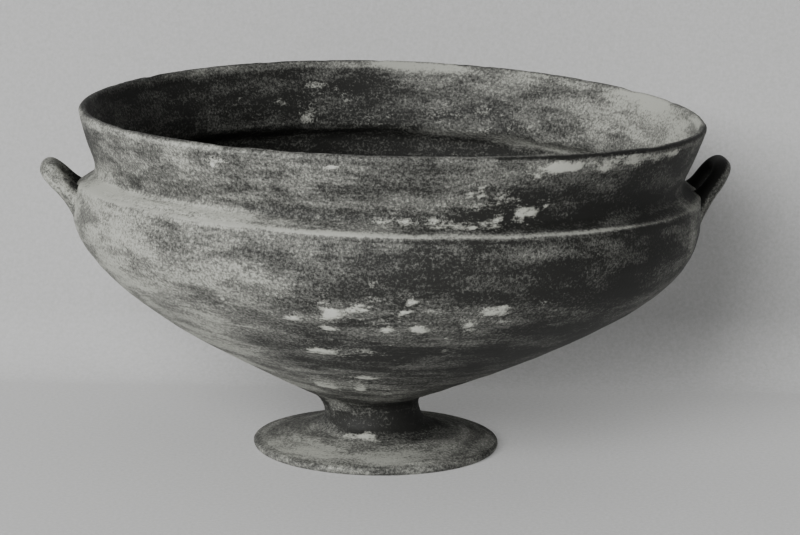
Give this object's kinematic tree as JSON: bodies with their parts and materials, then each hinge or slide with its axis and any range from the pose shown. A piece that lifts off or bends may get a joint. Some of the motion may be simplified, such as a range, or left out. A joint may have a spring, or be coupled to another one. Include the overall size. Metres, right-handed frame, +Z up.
{
  "type": "kylix cup",
  "caption": "Stemmed drinking cup of fired clay with a wide bowl, a sharp shoulder, a flaring neck, small loop handles and a low disc foot.",
  "frame": {"origin": "centre of the bounding box at the level of the table, which is 3 mm towards +X from the axis of the foot", "axes": "+Z up, +X towards the right handle as pictured, -Y towards the viewer of the picture"},
  "size_m": [0.2652, 0.2412, 0.1354],
  "materials": {
    "slip_worn_clay": "matte fired clay with worn dark slip"
  },
  "bodies": {
    "root": {"kylix_cup": "slip_worn_clay"}
  },
  "joints": []
}
